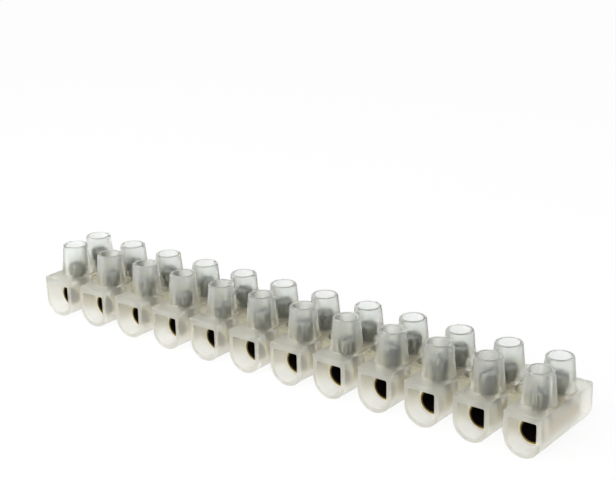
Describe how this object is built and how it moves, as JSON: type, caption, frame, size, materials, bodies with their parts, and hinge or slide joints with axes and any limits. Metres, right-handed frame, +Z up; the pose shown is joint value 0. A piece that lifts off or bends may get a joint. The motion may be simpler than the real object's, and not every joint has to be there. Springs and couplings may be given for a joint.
{
  "type": "terminal block",
  "caption": "Strip of U-shaped milky plastic ways joined by webs, each with a brass tube and slotted clamp screws in round towers, for joining wires end to end.",
  "frame": {"origin": "middle of the strip, on the surface it stands on", "axes": "+X along the row of ways, +Y along the wires from front to back, +Z up, the way the towers point"},
  "size_m": [0.1172, 0.0182, 0.0142],
  "materials": {
    "milky_plastic": "natural milky polyethylene, translucent, with a soft satin moulded surface",
    "brass": "plain drawn brass tube, a little dulled",
    "zinc_steel": "zinc-plated steel, dull grey"
  },
  "bodies": {
    "strip": {"housing": "milky_plastic", "brass_insert_01": "brass", "brass_insert_02": "brass", "brass_insert_03": "brass", "brass_insert_04": "brass", "brass_insert_05": "brass", "brass_insert_06": "brass", "brass_insert_07": "brass", "brass_insert_08": "brass", "brass_insert_09": "brass", "brass_insert_10": "brass", "brass_insert_11": "brass", "brass_insert_12": "brass"},
    "screw_front_01": {"clamp_screw_front_01": "zinc_steel"},
    "screw_front_02": {"clamp_screw_front_02": "zinc_steel"},
    "screw_front_03": {"clamp_screw_front_03": "zinc_steel"},
    "screw_front_04": {"clamp_screw_front_04": "zinc_steel"},
    "screw_front_05": {"clamp_screw_front_05": "zinc_steel"},
    "screw_front_06": {"clamp_screw_front_06": "zinc_steel"},
    "screw_front_07": {"clamp_screw_front_07": "zinc_steel"},
    "screw_front_08": {"clamp_screw_front_08": "zinc_steel"},
    "screw_front_09": {"clamp_screw_front_09": "zinc_steel"},
    "screw_front_10": {"clamp_screw_front_10": "zinc_steel"},
    "screw_front_11": {"clamp_screw_front_11": "zinc_steel"},
    "screw_front_12": {"clamp_screw_front_12": "zinc_steel"},
    "screw_back_01": {"clamp_screw_back_01": "zinc_steel"},
    "screw_back_02": {"clamp_screw_back_02": "zinc_steel"},
    "screw_back_03": {"clamp_screw_back_03": "zinc_steel"},
    "screw_back_04": {"clamp_screw_back_04": "zinc_steel"},
    "screw_back_05": {"clamp_screw_back_05": "zinc_steel"},
    "screw_back_06": {"clamp_screw_back_06": "zinc_steel"},
    "screw_back_07": {"clamp_screw_back_07": "zinc_steel"},
    "screw_back_08": {"clamp_screw_back_08": "zinc_steel"},
    "screw_back_09": {"clamp_screw_back_09": "zinc_steel"},
    "screw_back_10": {"clamp_screw_back_10": "zinc_steel"},
    "screw_back_11": {"clamp_screw_back_11": "zinc_steel"},
    "screw_back_12": {"clamp_screw_back_12": "zinc_steel"}
  },
  "joints": [
    {"name": "screw_front_01_travel", "type": "slide", "parent": "strip", "child": "screw_front_01", "axis": [0, 0, 1], "range_m": [-0.0018, 0.0018]},
    {"name": "screw_front_02_travel", "type": "slide", "parent": "strip", "child": "screw_front_02", "axis": [0, 0, 1], "range_m": [-0.00212, 0.00148]},
    {"name": "screw_front_03_travel", "type": "slide", "parent": "strip", "child": "screw_front_03", "axis": [0, 0, 1], "range_m": [-0.00288, 0.00072]},
    {"name": "screw_front_04_travel", "type": "slide", "parent": "strip", "child": "screw_front_04", "axis": [0, 0, 1], "range_m": [-0.00207, 0.00153]},
    {"name": "screw_front_05_travel", "type": "slide", "parent": "strip", "child": "screw_front_05", "axis": [0, 0, 1], "range_m": [-0.00198, 0.00162]},
    {"name": "screw_front_06_travel", "type": "slide", "parent": "strip", "child": "screw_front_06", "axis": [0, 0, 1], "range_m": [-0.00279, 0.00081]},
    {"name": "screw_front_07_travel", "type": "slide", "parent": "strip", "child": "screw_front_07", "axis": [0, 0, 1], "range_m": [-0.00297, 0.00063]},
    {"name": "screw_front_08_travel", "type": "slide", "parent": "strip", "child": "screw_front_08", "axis": [0, 0, 1], "range_m": [-0.00189, 0.00171]},
    {"name": "screw_front_09_travel", "type": "slide", "parent": "strip", "child": "screw_front_09", "axis": [0, 0, 1], "range_m": [-0.00315, 0.00045]},
    {"name": "screw_front_10_travel", "type": "slide", "parent": "strip", "child": "screw_front_10", "axis": [0, 0, 1], "range_m": [-0.00333, 0.00027]},
    {"name": "screw_front_11_travel", "type": "slide", "parent": "strip", "child": "screw_front_11", "axis": [0, 0, 1], "range_m": [-0.00324, 0.00036]},
    {"name": "screw_front_12_travel", "type": "slide", "parent": "strip", "child": "screw_front_12", "axis": [0, 0, 1], "range_m": [-0.0022, 0.00139]},
    {"name": "screw_back_01_travel", "type": "slide", "parent": "strip", "child": "screw_back_01", "axis": [0, 0, 1], "range_m": [-0.00301, 0.00059]},
    {"name": "screw_back_02_travel", "type": "slide", "parent": "strip", "child": "screw_back_02", "axis": [0, 0, 1], "range_m": [-0.00261, 0.00099]},
    {"name": "screw_back_03_travel", "type": "slide", "parent": "strip", "child": "screw_back_03", "axis": [0, 0, 1], "range_m": [-0.00293, 0.00068]},
    {"name": "screw_back_04_travel", "type": "slide", "parent": "strip", "child": "screw_back_04", "axis": [0, 0, 1], "range_m": [-0.00283, 0.00076]},
    {"name": "screw_back_05_travel", "type": "slide", "parent": "strip", "child": "screw_back_05", "axis": [0, 0, 1], "range_m": [-0.00293, 0.00068]},
    {"name": "screw_back_06_travel", "type": "slide", "parent": "strip", "child": "screw_back_06", "axis": [0, 0, 1], "range_m": [-0.00279, 0.00081]},
    {"name": "screw_back_07_travel", "type": "slide", "parent": "strip", "child": "screw_back_07", "axis": [0, 0, 1], "range_m": [-0.00261, 0.00099]},
    {"name": "screw_back_08_travel", "type": "slide", "parent": "strip", "child": "screw_back_08", "axis": [0, 0, 1], "range_m": [-0.00248, 0.00112]},
    {"name": "screw_back_09_travel", "type": "slide", "parent": "strip", "child": "screw_back_09", "axis": [0, 0, 1], "range_m": [-0.0027, 0.0009]},
    {"name": "screw_back_10_travel", "type": "slide", "parent": "strip", "child": "screw_back_10", "axis": [0, 0, 1], "range_m": [-0.00297, 0.00063]},
    {"name": "screw_back_11_travel", "type": "slide", "parent": "strip", "child": "screw_back_11", "axis": [0, 0, 1], "range_m": [-0.00185, 0.00176]},
    {"name": "screw_back_12_travel", "type": "slide", "parent": "strip", "child": "screw_back_12", "axis": [0, 0, 1], "range_m": [-0.0027, 0.0009]}
  ]
}
